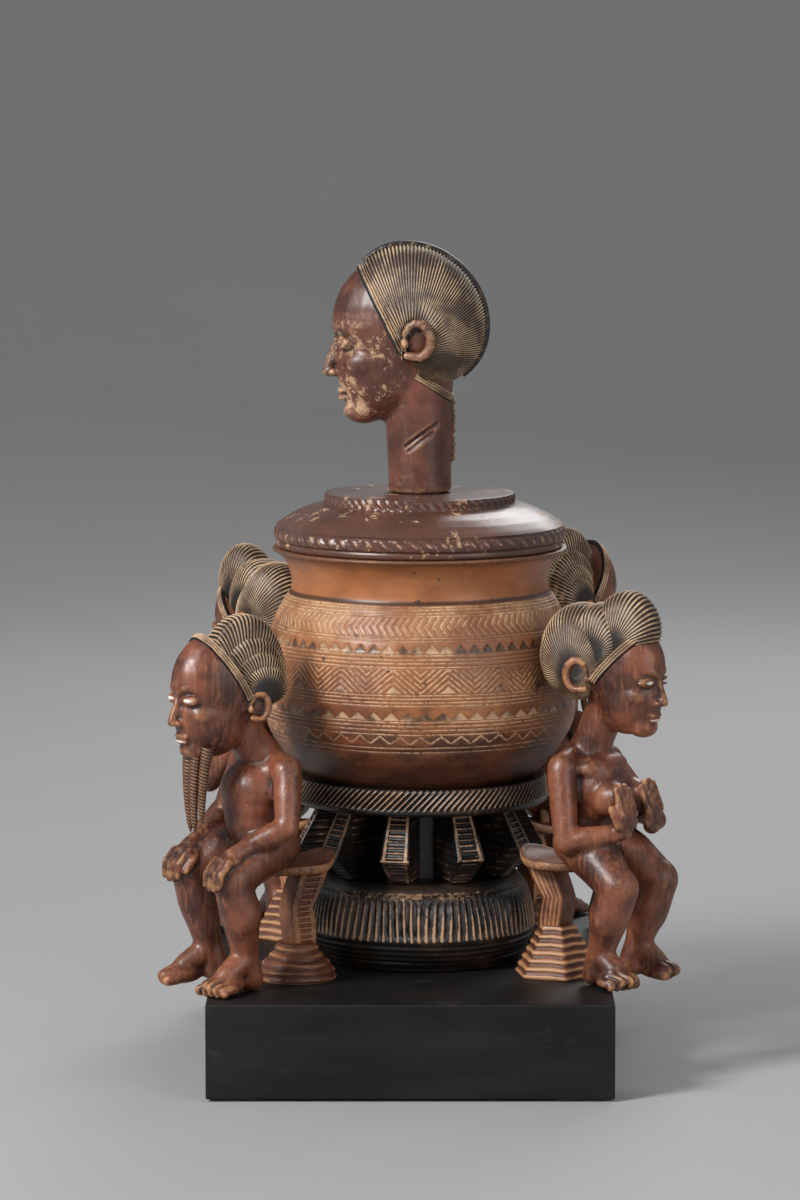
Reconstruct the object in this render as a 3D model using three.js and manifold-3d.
// Ointment cup: a lidded wooden bowl on a carved stand, with four seated figures round it.
// Millimetres, +Z up. The origin is on the cup's axis, at the level that the pads stand on.
import * as THREE from 'three';
import { mergeVertices } from 'three/addons/utils/BufferGeometryUtils.js';
import Module from 'manifold-3d';

const wasm = await Module();
wasm.setup();

// Clearances
const fitGap = 0.3;
const pinGap = 0.2;
const overlapDepth = 1;
const roundness = 40;
const groundSize = 300;

// Display block and its pads
const padHeight = 1.5;
const padSize = 28;
const padInset = 6;
const blockCentreX = -6;
const blockWidth = 238;
const blockDepth = 318;
const blockHeight = 56;
const blockBevel = 1.2;
const blockTop = padHeight + blockHeight;

// Stand: foot ring, core, struts and collar
const footBottomRadius = 60;
const footWaistRadius = 70;
const footRimRadius = 64;
const footWaistHeight = 20;
const footBandHeight = 26;
const fluteCount = 94;
const fluteDepth = 1.5;
const deckRise = 8;
const deckInset = 4;
const coreRadius = 38;
const strutCount = 10;
const strutFirstAngle = 6;
const strutWidth = 18;
const strutHeight = 42.7;
const strutElbowHeight = 15.4;
const strutElbowRadius = 75;
const strutFootRadius = 59;
const strutHeadRadius = 60;
const footTop = blockTop + footWaistHeight + footBandHeight + deckRise;
const collarBottom = footTop + strutHeight;
const collarHeight = 16;
const collarRadius = 78.5;
const collarTopRadius = 76;
const collarChamfer = 3;

// Bowl, as outer radii at heights above its seat on the collar
const bowlBottom = collarBottom + collarHeight;
const bowlSeatRadius = 68;
const bellyRadius = 95;
const bellyHeight = 54;
const creaseRadius = 79.5;
const creaseHeight = 111;
const neckRadius = 77.5;
const neckHeight = 118;
const rimRadius = 89;
const bowlHeight = 138;
const bowlWall = 7;
const bowlFloor = 12;
const bowlTenonRadius = 30;
const bowlTenonLength = 5;
const mouthRadius = 80.5;
const mouthDepth = 8;
const rimTop = bowlBottom + bowlHeight;

// Lid
const lidSeat = rimTop + fitGap;
const lidLipRadius = 86;
const lidLipHeight = 3.5;
const lidBandRadius = 88.5;
const lidBandHeight = 11;
const lidDomeRise = 11;
const lidDomeRadius = 60;
const lidDiscRadius = 57;
const lidDiscHeight = 7;
const spigotLength = 6;
const spigotWall = 8;
const lidHollowHeight = 9;
const lidHollowTopRadius = 45;
const lidTop = lidSeat + lidLipHeight + lidBandHeight + lidDomeRise + lidDiscHeight;

// Finial head, which looks towards -X
const finialNeckRadius = 19.3;
const finialNeckTopRadius = 22;
const finialNeckHeight = 72;
const finialFace = { forward: 10, chin: 40.5, height: 103, halfWidth: 28.5 };
const finialHair = { forward: 2.5, up: 106, longRadius: 45.5, shortRadius: 40, halfWidth: 33, tilt: 49 };
const hairRibCount = 40;
const hairRibDepth = 1.6;
const hairCrestWidth = 4.4;
const hairCrestRise = 2;
const hairBandWidth = 5.2;
const hairBandRise = 1.5;
const hairline = [[36.9, 133.2], [12.1, 83.2]];
const napeLine = [[1.7, 69], [-19, 55.5]];
const napeBandWidth = 4;
const napeBandRadius = 23;
const cutBlockSize = 300;
const finialEar = { forward: 1.7, up: 93.5, halfWidth: 8, halfHeight: 11, out: 31, thickness: 2.8 };
const finialDowelRadius = 6;
const finialDowelLength = 34;
const finialDowelDepth = 14;

// Seated figures: forward, to the side and up from the centre of the stool's foot
const seatHeight = 71;
const hipForward = 22;
const hipSpread = 13;
const hipHeight = 84;
const thighRadius = 14;
const kneeRadius = 10.5;
const calfRadius = 11.5;
const ankleHeight = 21;
const ankleRadius = 7.5;
const heelLength = 8;
const footHalfWidth = 9.5;
const footHeight = 12;
const shoulderForward = 23;
const shoulderSpread = 24;
const shoulderHeight = 129;
const armRadius = 8;
const chestDepth = 19;
const chestWidth = 25;
const neckSize = 11;
const faceHalfWidth = 19;
const faceHalfDepth = 20;
const beardSpread = 4.5;
const build = {
  man: { knee: [60, 23, 68], ankle: [49, 20], toe: [78, 26] },
  woman: { knee: [57, 21, 60], ankle: [42, 20], toe: [64, 24] },
};

// Stools
const stoolSeatLength = 48;
const stoolSeatWidth = 44;
const stoolSeatThickness = 7;
const stoolLegWidth = 15;
const stoolLegBack = 20;
const stoolBend = 7;
const stoolFootRadius = 24;
const stoolFootHeight = 23;
const pyramidFootRadius = 27;
const pyramidFootHeight = 30;

// Hidden pins and pegs
const cupPinRadius = 3;
const cupPinLength = 26;
const cupPinSpacing = 60;
const stoolPinRadius = 2.5;
const stoolPinLength = 22;
const seatPegRadius = 3;
const seatPegLength = 12;
const seatPegForward = 12;

const finish = (color, roughness, metalness = 0) =>
  new THREE.MeshStandardMaterial({ color, roughness, metalness });
const figureWood = finish(0x6a3020, 0.4);
const finialWood = finish(0x5e2c1e, 0.45);
const stoolWood = finish(0x9a6236, 0.55);
const standWood = finish(0x1d1714, 0.5);
const bowlWood = finish(0xa8692f, 0.5);
const lidWood = finish(0x4a3028, 0.45);
const blockPaint = finish(0x141414, 0.6);
const padCork = finish(0x6b4a35, 0.9);
const pinSteel = finish(0x9a9a98, 0.35, 1);
const pegWood = finish(0xb98c5a, 0.7);

// Closed geometry to solid, with its faces turned outwards
function solid(geometry) {
  const bare = geometry.index ? geometry.clone() : mergeVertices(geometry.clone());
  bare.deleteAttribute('normal');
  bare.deleteAttribute('uv');
  const merged = mergeVertices(bare, 1e-4);
  const spots = merged.attributes.position;
  const corners = [];
  let volume = 0;
  const a = new THREE.Vector3();
  const b = new THREE.Vector3();
  const c = new THREE.Vector3();
  for (let i = 0; i < merged.index.count; i += 3) {
    const [p, q, r] = [0, 1, 2].map((k) => merged.index.getX(i + k));
    if (p === q || q === r || r === p) continue;
    corners.push([p, q, r]);
    a.fromBufferAttribute(spots, p);
    b.fromBufferAttribute(spots, q);
    c.fromBufferAttribute(spots, r);
    volume += a.dot(b.cross(c));
  }
  const order = volume < 0 ? ([p, q, r]) => [p, r, q] : (triangle) => triangle;
  return new wasm.Manifold(new wasm.Mesh({
    numProp: 3,
    vertProperties: new Float32Array(spots.array),
    triVerts: new Uint32Array(corners.flatMap(order)),
  }));
}

const join = (solids) => solids.reduce((whole, piece) => whole.add(piece));

function meshOf(name, shape, material) {
  const data = shape.getMesh();
  const geometry = new THREE.BufferGeometry();
  geometry.setAttribute('position', new THREE.BufferAttribute(new Float32Array(data.vertProperties), 3));
  geometry.setIndex(Array.from(data.triVerts));
  geometry.computeVertexNormals();
  const mesh = new THREE.Mesh(geometry, material);
  mesh.name = name;
  return mesh;
}

// Turned solid about Z from radius and height pairs
function turned(profile, segments) {
  const points = profile.map(([radius, height]) => new THREE.Vector2(radius, height));
  return new THREE.LatheGeometry(points, segments).rotateX(Math.PI / 2);
}

function rod(radius, length, x, y, bottom, segments = 12) {
  const geometry = new THREE.CylinderGeometry(radius, radius, length, segments).rotateX(Math.PI / 2);
  return geometry.translate(x, y, bottom + length / 2);
}

function egg(centre, radii, sides = 9) {
  const rings = Math.round(sides * 0.67);
  const geometry = new THREE.SphereGeometry(1, sides, rings).rotateX(Math.PI / 2);
  geometry.scale(...radii).translate(...centre);
  return solid(geometry);
}

// Closed tube through a path of [x, y, z, width, depth] rings, with a rounded point at each end
function shaped(path, sides = 7) {
  const spots = path.map(([x, y, z]) => new THREE.Vector3(x, y, z));
  const positions = [];
  const indices = [];
  const last = path.length - 1;
  const sideways = new THREE.Vector3(0, 1, 0);
  const ahead = spots.map((_, i) => {
    const before = spots[Math.max(i - 1, 0)];
    const after = spots[Math.min(i + 1, last)];
    return after.clone().sub(before).normalize();
  });
  path.forEach(([, , , width, depth], i) => {
    const across = sideways.clone().addScaledVector(ahead[i], -sideways.dot(ahead[i])).normalize();
    const out = new THREE.Vector3().crossVectors(ahead[i], across);
    for (let k = 0; k < sides; k += 1) {
      const angle = (2 * Math.PI * k) / sides;
      const point = spots[i].clone()
        .addScaledVector(across, width * Math.cos(angle))
        .addScaledVector(out, depth * Math.sin(angle));
      positions.push(...point);
    }
  });
  for (let i = 0; i < last; i += 1) {
    for (let k = 0; k < sides; k += 1) {
      const next = (k + 1) % sides;
      const [a, b] = [i * sides + k, i * sides + next];
      indices.push(a, b, b + sides, a, b + sides, a + sides);
    }
  }
  [[0, -1], [last, 1]].forEach(([i, way]) => {
    const tip = spots[i].clone().addScaledVector(ahead[i], way * Math.min(path[i][3], path[i][4]) * 0.7);
    const centre = positions.length / 3;
    positions.push(...tip);
    for (let k = 0; k < sides; k += 1) {
      const [a, b] = [i * sides + k, i * sides + ((k + 1) % sides)];
      indices.push(...(way > 0 ? [a, b, centre] : [b, a, centre]));
    }
  });
  const geometry = new THREE.BufferGeometry();
  geometry.setAttribute('position', new THREE.BufferAttribute(new Float32Array(positions), 3));
  geometry.setIndex(indices);
  return solid(geometry);
}

const pair = (path, sides) => join([1, -1].map(
  (side) => shaped(path.map(([x, y, z, width, depth]) => [x, y * side, z, width, depth ?? width]), sides),
));

// Arms end on the knees or flat against the chest
const armPaths = {
  knees: [[29, 35, 97, armRadius - 1.5], [49, 26, 87, armRadius - 2.5], [67, 23, 78, 7, 4.5]],
  chest: [[33, 35, 90, armRadius - 1.5], [49, 21, 97, armRadius - 2.5], [53, 15, 117, 6, 4]],
};

function legs({ knee, ankle, toe }) {
  const [kneeForward, kneeSpread, kneeHeight] = knee;
  const [ankleForward, ankleSpread] = ankle;
  const [toeForward, toeSpread] = toe;
  const calfHeight = kneeHeight * 0.66;
  const calfForward = (kneeForward * 2 + ankleForward) / 3;
  const thighHeight = (hipHeight + kneeHeight) / 2;
  const toeEnd = toeForward - 3;
  const middleForward = (ankleForward + toeForward) / 2;
  const middleSpread = (ankleSpread + toeSpread) / 2;
  const footMiddle = footHeight / 2;
  return join([
    pair([
      [hipForward, hipSpread, hipHeight, thighRadius + 2, thighRadius],
      [(hipForward + kneeForward) / 2, (hipSpread + kneeSpread) / 2, thighHeight, thighRadius - 1],
      [kneeForward, kneeSpread, kneeHeight, kneeRadius + 1],
      [calfForward, kneeSpread, calfHeight, calfRadius],
      [ankleForward, ankleSpread, ankleHeight, ankleRadius],
      [ankleForward, ankleSpread, footMiddle, ankleRadius],
    ]),
    pair([
      [ankleForward - heelLength, ankleSpread - 1, footMiddle, ankleRadius - 1.5, footMiddle + 1],
      [middleForward, middleSpread, footMiddle, footHalfWidth - 1.5, footMiddle + 1],
      [toeEnd - 7, toeSpread - 1, footHeight / 3, footHalfWidth, footMiddle],
      [toeEnd, toeSpread, footHeight / 3, footHalfWidth - 2, footHeight / 3],
    ], 6),
  ]);
}

const arms = (path) => pair([
  [shoulderForward, shoulderSpread - 4, shoulderHeight + 2, armRadius],
  [shoulderForward + 1, shoulderSpread + 2, shoulderHeight - 6, armRadius + 1],
  ...path,
], 6);

function torso() {
  const waist = (hipHeight + shoulderHeight) / 2 - 3;
  return shaped([
    [hipForward - 1, 0, hipHeight - 8, hipSpread + 10, chestDepth - 2],
    [hipForward, 0, hipHeight + 4, hipSpread + 10, chestDepth],
    [hipForward + 2, 0, waist, chestWidth - 6, chestDepth - 4],
    [shoulderForward + 2, 0, shoulderHeight - 10, chestWidth, chestDepth - 2],
    [shoulderForward, 0, shoulderHeight + 3, chestWidth - 4, chestDepth - 7],
  ], 10);
}

const breasts = () => join([1, -1].map(
  (side) => egg([hipForward + 23, side * 11, shoulderHeight - 16], [12, 9, 10]),
));

// Head with its hair lobes, measured from the seat line of the figure
function head({ forward, chin, crown, lobes }) {
  const faceHalf = (crown - chin) * 0.44;
  const middle = chin + faceHalf;
  return join([
    shaped([
      [shoulderForward, 0, shoulderHeight - 4, neckSize + 3, neckSize],
      [(shoulderForward + forward) / 2 - 3, 0, (shoulderHeight + chin) / 2 + 4, neckSize, neckSize],
      [forward - 8, 0, chin + 18, neckSize, neckSize],
    ], 8),
    egg([forward, 0, middle], [faceHalfDepth, faceHalfWidth, faceHalf]),
    shaped([[forward + 16, 0, middle + 2, 2, 2], [forward + 20, 0, middle - 9, 3.5, 3]], 4),
    pair([
      [forward - 15, faceHalfWidth - 3, middle - 4, 3, 4],
      [forward - 16, faceHalfWidth, middle + 4, 3, 6],
      [forward - 15, faceHalfWidth - 1, middle + 9, 2, 4],
    ], 5),
    ...lobes.map((lobe) => egg([forward + lobe.back, 0, crown - lobe.drop], lobe.radii)),
  ]);
}

function beard({ forward, chin, beardLength }) {
  return join([-1.5, -0.5, 0.5, 1.5].map((place) => shaped([
    [forward + 12, beardSpread * place, chin + 8, 4, 4],
    [forward + 15, beardSpread * place * 0.8, chin - beardLength * 0.5, 3.4, 3.4],
    [forward + 14, beardSpread * place * 0.6, chin - beardLength, 1.8, 1.8],
  ], 5)));
}

// The four figures, by the angle of their stools round the cup
const manHair = [
  { back: -16, drop: 27, radii: [30, 20, 27] },
  { back: -32, drop: 50, radii: [15, 20, 22] },
];
const womanHair = [
  { back: -29, drop: 31, radii: [26, 21, 29] },
  { back: -3, drop: 14, radii: [17, 15, 14] },
];
const figures = [
  {
    place: 'front_left', kind: 'man', angle: 225, radius: 104, facing: 214, arms: 'knees', stool: 'round',
    head: { forward: 64, chin: 134, crown: 218, beardLength: 46, lobes: manHair },
  },
  {
    place: 'front_right', kind: 'woman', angle: 324, radius: 102, facing: 324, arms: 'chest', stool: 'pyramid',
    head: { forward: 51, chin: 145, crown: 231, lobes: womanHair },
  },
  {
    place: 'back_left', kind: 'woman', angle: 138, radius: 104, facing: 128, arms: 'chest', stool: 'pyramid',
    head: { forward: 53, chin: 152, crown: 238, lobes: womanHair },
  },
  {
    place: 'back_right', kind: 'man', angle: 47, radius: 104, facing: 52, arms: 'knees', stool: 'round',
    head: { forward: 54, chin: 165, crown: 249, beardLength: 46, lobes: manHair },
  },
];

const radians = THREE.MathUtils.degToRad;

// Seat of a stool as a flat oval, grown by a margin where it cuts its neighbour
function seatOval(margin) {
  const thickness = stoolSeatThickness + 2 * margin;
  const disc = new THREE.CylinderGeometry(0.5, 0.5, thickness, 24).rotateX(Math.PI / 2);
  disc.scale(stoolSeatLength + 2 * margin, stoolSeatWidth + 2 * margin, 1);
  return solid(disc.translate(0, 0, seatHeight - stoolSeatThickness / 2));
}

function pegHole(radius) {
  const length = seatPegLength + 2 * pinGap;
  return solid(rod(radius, length, seatPegForward, 0, seatHeight - length / 2));
}

function stool(style) {
  const under = seatHeight - stoolSeatThickness + overlapDepth;
  const footHeightHere = style === 'round' ? stoolFootHeight : pyramidFootHeight;
  const low = footHeightHere - overlapDepth * 3;
  const bend = (under + low) / 2;
  const outline = new THREE.Shape([
    [-stoolLegBack, under], [0, under], [stoolBend, bend], [stoolBend - 2, low],
    [-stoolBend - 2, low], [-stoolBend, bend],
  ].map(([u, h]) => new THREE.Vector2(u, h)));
  const leg = new THREE.ExtrudeGeometry(outline, { depth: stoolLegWidth, bevelEnabled: false });
  leg.rotateX(Math.PI / 2).translate(0, stoolLegWidth / 2, 0);
  const dome = [
    [0, 0], [stoolFootRadius, 0], [stoolFootRadius, 4], [stoolFootRadius * 0.88, 9],
    [stoolFootRadius * 0.62, 16], [stoolFootRadius * 0.45, stoolFootHeight], [0, stoolFootHeight],
  ];
  const pyramid = [
    [0, 0], [pyramidFootRadius, 0], [pyramidFootRadius, 3],
    [pyramidFootRadius * 0.42, pyramidFootHeight], [0, pyramidFootHeight],
  ];
  const foot = style === 'round' ? turned(dome, 20) : turned(pyramid, 6);
  const whole = join([seatOval(0), solid(leg), solid(foot)]);
  const pinHole = solid(rod(stoolPinRadius + pinGap, stoolPinLength, 0, 0, -stoolPinLength / 2 + pinGap));
  return whole.subtract(pinHole).subtract(pegHole(seatPegRadius + pinGap));
}

function figureShape(figure) {
  const pieces = [torso(), legs(build[figure.kind]), arms(armPaths[figure.arms]), head(figure.head)];
  pieces.push(figure.kind === 'man' ? beard(figure.head) : breasts());
  const ground = new THREE.BoxGeometry(groundSize, groundSize, groundSize);
  ground.translate(0, 0, fitGap - groundSize / 2);
  return join(pieces)
    .subtract(solid(ground))
    .subtract(seatOval(fitGap))
    .subtract(pegHole(seatPegRadius + pinGap));
}

// A figure with its stool, its seat peg and the pin under the stool
function seatedGroup(figure) {
  const group = new THREE.Group();
  const turn = radians(figure.angle);
  group.position.set(figure.radius * Math.cos(turn), figure.radius * Math.sin(turn), blockTop);
  group.rotation.z = radians(figure.facing);
  const peg = solid(rod(seatPegRadius, seatPegLength, seatPegForward, 0, seatHeight - seatPegLength / 2));
  const pin = solid(rod(stoolPinRadius, stoolPinLength, 0, 0, -stoolPinLength / 2));
  group.add(
    meshOf(`${figure.kind}_${figure.place}`, figureShape(figure), figureWood),
    meshOf(`stool_${figure.place}`, stool(figure.stool), stoolWood),
    meshOf(`seat_peg_${figure.place}`, peg, pegWood),
    meshOf(`stool_pin_${figure.place}`, pin, pinSteel),
  );
  return group;
}

const cupPinPlaces = [-0.5, 0.5].map((place) => place * cupPinSpacing);

function displayBlock() {
  const width = blockWidth - 2 * blockBevel;
  const depth = blockDepth - 2 * blockBevel;
  const outline = new THREE.Shape([
    new THREE.Vector2(-width / 2, -depth / 2), new THREE.Vector2(width / 2, -depth / 2),
    new THREE.Vector2(width / 2, depth / 2), new THREE.Vector2(-width / 2, depth / 2),
  ]);
  const slab = new THREE.ExtrudeGeometry(outline, {
    depth: blockHeight - 2 * blockBevel, bevelThickness: blockBevel, bevelSize: blockBevel, bevelSegments: 2,
  }).translate(blockCentreX, 0, padHeight + blockBevel);
  const pinHoles = [
    ...cupPinPlaces.map((x) => rod(cupPinRadius + pinGap, cupPinLength + pinGap, x, 0,
      blockTop - cupPinLength / 2 - pinGap)),
    ...figures.map(({ angle, radius }) => rod(stoolPinRadius + pinGap, stoolPinLength + pinGap,
      radius * Math.cos(radians(angle)), radius * Math.sin(radians(angle)),
      blockTop - stoolPinLength / 2 - pinGap)),
  ];
  return pinHoles.reduce((block, hole) => block.subtract(solid(hole)), solid(slab));
}

function pads() {
  const places = [
    ['front_left', -1, -1], ['front_right', 1, -1], ['back_left', -1, 1], ['back_right', 1, 1],
  ];
  return places.map(([place, sideX, sideY]) => {
    const pad = meshOf(`pad_${place}`, solid(new THREE.BoxGeometry(padSize, padSize, padHeight)), padCork);
    const outX = blockWidth / 2 - padInset - padSize / 2;
    const outY = blockDepth / 2 - padInset - padSize / 2;
    pad.position.set(blockCentreX + sideX * outX, sideY * outY, padHeight / 2);
    return pad;
  });
}

// Odd columns of a geometry around an axis are drawn in towards that axis
function grooved(geometry, first, second, count, depth) {
  const spots = geometry.attributes.position;
  const point = new THREE.Vector3();
  for (let i = 0; i < spots.count; i += 1) {
    point.fromBufferAttribute(spots, i);
    const radius = Math.hypot(point[first], point[second]);
    const column = Math.round((Math.atan2(point[second], point[first]) * count) / Math.PI);
    if (column % 2 === 0 || radius <= depth) continue;
    point[first] *= 1 - depth / radius;
    point[second] *= 1 - depth / radius;
    spots.setXYZ(i, point.x, point.y, point.z);
  }
  return geometry;
}

// Foot ring with its fluted band, deck and the core that carries the collar
function standFoot() {
  const waist = blockTop + footWaistHeight;
  const rim = waist + footBandHeight;
  const middle = (footWaistRadius + footRimRadius) / 2 + 1;
  const root = fluteDepth + overlapDepth;
  const profile = [
    [0, blockTop], [footBottomRadius, blockTop], [footBottomRadius + 5, blockTop + footWaistHeight * 0.35],
    [footWaistRadius - 1, waist - 4], [footWaistRadius, waist], [footWaistRadius - root, waist + 1.5],
    [middle - root, rim - 9], [footRimRadius - root, rim - 1.5], [footRimRadius, rim],
    [footRimRadius - deckInset, footTop], [coreRadius, footTop],
    [coreRadius - 2, (footTop + collarBottom) / 2], [coreRadius, collarBottom], [0, collarBottom],
  ];
  const band = [
    [0, waist + 0.5], [footWaistRadius - 0.5, waist + 0.5], [footWaistRadius - 0.5, waist + 6],
    [middle, rim - 9], [footRimRadius - 0.2, rim - 0.5], [0, rim - 0.5],
  ];
  const flutes = grooved(turned(band, fluteCount * 2), 'x', 'y', fluteCount, fluteDepth);
  const holeLength = cupPinLength / 2 + overlapDepth;
  const holeBottom = blockTop - overlapDepth + pinGap;
  const holes = cupPinPlaces.map((x) => rod(cupPinRadius + pinGap, holeLength, x, 0, holeBottom));
  const whole = join([solid(turned(profile, roundness)), solid(flutes)]);
  return holes.reduce((foot, hole) => foot.subtract(solid(hole)), whole);
}

function strutShape() {
  const outline = new THREE.Shape([
    [coreRadius + fitGap, fitGap], [strutFootRadius, fitGap], [strutElbowRadius, strutElbowHeight],
    [strutHeadRadius, strutHeight - fitGap], [coreRadius + fitGap, strutHeight - fitGap],
  ].map(([radius, height]) => new THREE.Vector2(radius, height)));
  const strut = new THREE.ExtrudeGeometry(outline, { depth: strutWidth, bevelEnabled: false });
  return solid(strut.rotateX(Math.PI / 2).translate(0, strutWidth / 2, 0));
}

function struts() {
  return Array.from({ length: strutCount }, (_, i) => {
    const strut = meshOf(`strut_${String(i + 1).padStart(2, '0')}`, strutShape(), standWood);
    strut.rotation.z = radians(strutFirstAngle + (360 / strutCount) * i);
    strut.position.z = footTop;
    return strut;
  });
}

function collar() {
  const profile = [
    [0, collarBottom], [collarRadius - collarChamfer, collarBottom],
    [collarRadius, collarBottom + collarChamfer],
    [collarTopRadius, bowlBottom], [bowlTenonRadius + fitGap, bowlBottom],
    [bowlTenonRadius + fitGap, bowlBottom - bowlTenonLength - fitGap],
    [0, bowlBottom - bowlTenonLength - fitGap],
  ];
  return solid(turned(profile, roundness));
}

// Radius of the bowl's outside at a height above its seat
const bowlOutline = new THREE.SplineCurve([
  [bowlSeatRadius, 0], [bowlSeatRadius + 10, bellyHeight * 0.17], [bellyRadius - 7, bellyHeight * 0.41],
  [bellyRadius - 1.5, bellyHeight * 0.65], [bellyRadius, bellyHeight], [bellyRadius - 1.3, bellyHeight + 18],
  [bellyRadius - 5, bellyHeight + 36], [creaseRadius, creaseHeight],
].map(([radius, height]) => new THREE.Vector2(radius, height)));

function bowl() {
  const outside = bowlOutline.getPoints(9).map((point) => [point.x, bowlBottom + point.y]);
  const inside = outside
    .filter(([, height]) => height > bowlBottom + bowlFloor + 4)
    .map(([radius, height]) => [radius - bowlWall, height])
    .reverse();
  const floor = bowlBottom + bowlFloor;
  const flare = (rimRadius - neckRadius) / 2;
  const profile = [
    [0, bowlBottom - bowlTenonLength], [bowlTenonRadius, bowlBottom - bowlTenonLength],
    [bowlTenonRadius, bowlBottom], ...outside,
    [neckRadius, bowlBottom + neckHeight],
    [neckRadius + flare * 0.7, (bowlBottom + neckHeight + rimTop) / 2 + 1],
    [rimRadius - 1, rimTop - 2], [rimRadius - 1, rimTop],
    [mouthRadius, rimTop], [mouthRadius, rimTop - mouthDepth],
    [neckRadius - bowlWall, bowlBottom + neckHeight], ...inside,
    [bowlSeatRadius - bowlWall, floor], [0, floor],
  ];
  return solid(turned(profile, roundness));
}

function lid() {
  const bandBottom = lidSeat + lidLipHeight;
  const bandTop = bandBottom + lidBandHeight;
  const domeTop = bandTop + lidDomeRise;
  const spigotRadius = mouthRadius - fitGap;
  const hollowTop = lidSeat + lidHollowHeight;
  const profile = [
    [0, hollowTop], [lidHollowTopRadius, hollowTop], [spigotRadius - spigotWall, lidSeat],
    [spigotRadius - spigotWall, lidSeat - spigotLength], [spigotRadius, lidSeat - spigotLength],
    [spigotRadius, lidSeat], [lidLipRadius, lidSeat], [lidLipRadius, bandBottom],
    [lidBandRadius, bandBottom + 1.5], [lidBandRadius, bandTop - 2], [lidLipRadius, bandTop],
    [(lidLipRadius + lidDomeRadius) / 2, bandTop + lidDomeRise * 0.7], [lidDomeRadius, domeTop],
    [lidDiscRadius, domeTop], [lidDiscRadius, lidTop - 1], [lidDiscRadius - 1, lidTop], [0, lidTop],
  ];
  const hole = rod(finialDowelRadius + pinGap, finialDowelDepth + 2, 0, 0, lidTop - finialDowelDepth - pinGap);
  return solid(turned(profile, roundness)).subtract(solid(hole));
}

// Large block on one side of a slanted line across the head's middle plane, moved back by a shift
function sideOf([[forward, up], [otherForward, otherUp]], way, shift) {
  const length = Math.hypot(forward - otherForward, up - otherUp);
  const normalForward = (up - otherUp) / length;
  const normalUp = (otherForward - forward) / length;
  const size = cutBlockSize;
  const block = new THREE.BoxGeometry(size, size, size).translate((way * size) / 2, 0, 0);
  block.rotateY(Math.atan2(-normalUp, -normalForward));
  return solid(block.translate(shift * normalForward - forward, 0, lidTop + up - normalUp * shift));
}

const trimmed = (shape, blocks) => blocks.reduce((rest, block) => rest.subtract(block), shape);

// Ribbed cap of hair with its crest, cut off at the hairline and at the nape
function finialCap() {
  const { forward, up, longRadius, shortRadius, halfWidth, tilt } = finialHair;
  const place = (shape, longer, wider, shorter) => solid(
    shape.scale(longer, wider, shorter).rotateY(radians(tilt)).translate(-forward, 0, lidTop + up),
  );
  const ball = new THREE.SphereGeometry(1, hairRibCount * 2, 9);
  const ribs = grooved(ball, 'x', 'z', hairRibCount, hairRibDepth / longRadius);
  const crest = new THREE.CylinderGeometry(1, 1, hairCrestWidth, hairRibCount);
  return trimmed(join([
    place(ribs, longRadius, halfWidth, shortRadius),
    place(crest, longRadius + hairCrestRise, 1, shortRadius + hairCrestRise),
  ]), [sideOf(hairline, 1, hairBandWidth), sideOf(napeLine, 1, napeBandWidth)]);
}

function finialHead() {
  const base = lidTop;
  const { forward, chin, height, halfWidth } = finialFace;
  const at = (ahead, share) => [-(forward + height * ahead), 0, base + chin + height * share];
  const skull = (rise) => egg(at(0, 0.6), [height * 0.42 + rise, halfWidth + rise, height * 0.41 + rise], 18);
  const neck = turned([
    [0, base], [finialNeckRadius, base], [finialNeckTopRadius, base + finialNeckHeight],
    [0, base + finialNeckHeight + 10],
  ], 24);
  const [[earForward, earUp], [, backUp]] = napeLine;
  const frontBand = trimmed(skull(hairBandRise), [
    sideOf(hairline, 1, 0), sideOf(hairline, -1, hairBandWidth + overlapDepth), sideOf(napeLine, 1, 0),
  ]);
  const napeBand = trimmed(solid(rod(napeBandRadius, earUp - backUp + 30, 0, 0, base + backUp - 20, 24)), [
    sideOf(napeLine, 1, 0), sideOf(napeLine, -1, napeBandWidth + overlapDepth),
    sideOf([[earForward, earUp], [earForward, backUp]], 1, 0),
  ]);
  const ear = finialEar;
  const curl = Array.from({ length: 7 }, (_, i) => {
    const angle = radians(20 + 45 * i);
    return [
      -(ear.forward + ear.halfWidth * Math.cos(angle)), ear.out,
      base + ear.up + ear.halfHeight * Math.sin(angle), ear.thickness,
    ];
  });
  const noseTop = at(0.365, 0.535);
  const noseTip = at(0.438, 0.33);
  const shape = join([
    solid(neck), finialCap(), skull(0), frontBand, napeBand,
    egg(at(0.05, 0.38), [height * 0.36, halfWidth * 0.86, height * 0.37], 16),
    egg(at(0.23, 0.105), [height * 0.13, halfWidth * 0.46, height * 0.1], 10),
    shaped([[...noseTop, height * 0.026, height * 0.026], [...noseTip, height * 0.036, height * 0.036]], 6),
    pair(curl, 6),
  ]);
  const depth = finialDowelLength - finialDowelDepth;
  return shape.subtract(solid(rod(finialDowelRadius + pinGap, depth + 1 + pinGap, 0, 0, base - 1)));
}

const finialDowel = () => solid(rod(finialDowelRadius, finialDowelLength, 0, 0, lidTop - finialDowelDepth));

const part = new THREE.Group();
part.add(
  meshOf('display_block', displayBlock(), blockPaint),
  ...pads(),
  meshOf('stand_foot', standFoot(), standWood),
  ...struts(),
  meshOf('stand_collar', collar(), standWood),
  meshOf('bowl', bowl(), bowlWood),
  meshOf('lid', lid(), lidWood),
  meshOf('finial_head', finialHead(), finialWood),
  meshOf('finial_dowel', finialDowel(), pegWood),
  ...cupPinPlaces.map((x, i) => meshOf(
    `cup_pin_${i + 1}`, solid(rod(cupPinRadius, cupPinLength, x, 0, blockTop - cupPinLength / 2)), pinSteel,
  )),
  ...figures.map(seatedGroup),
);

export default part;
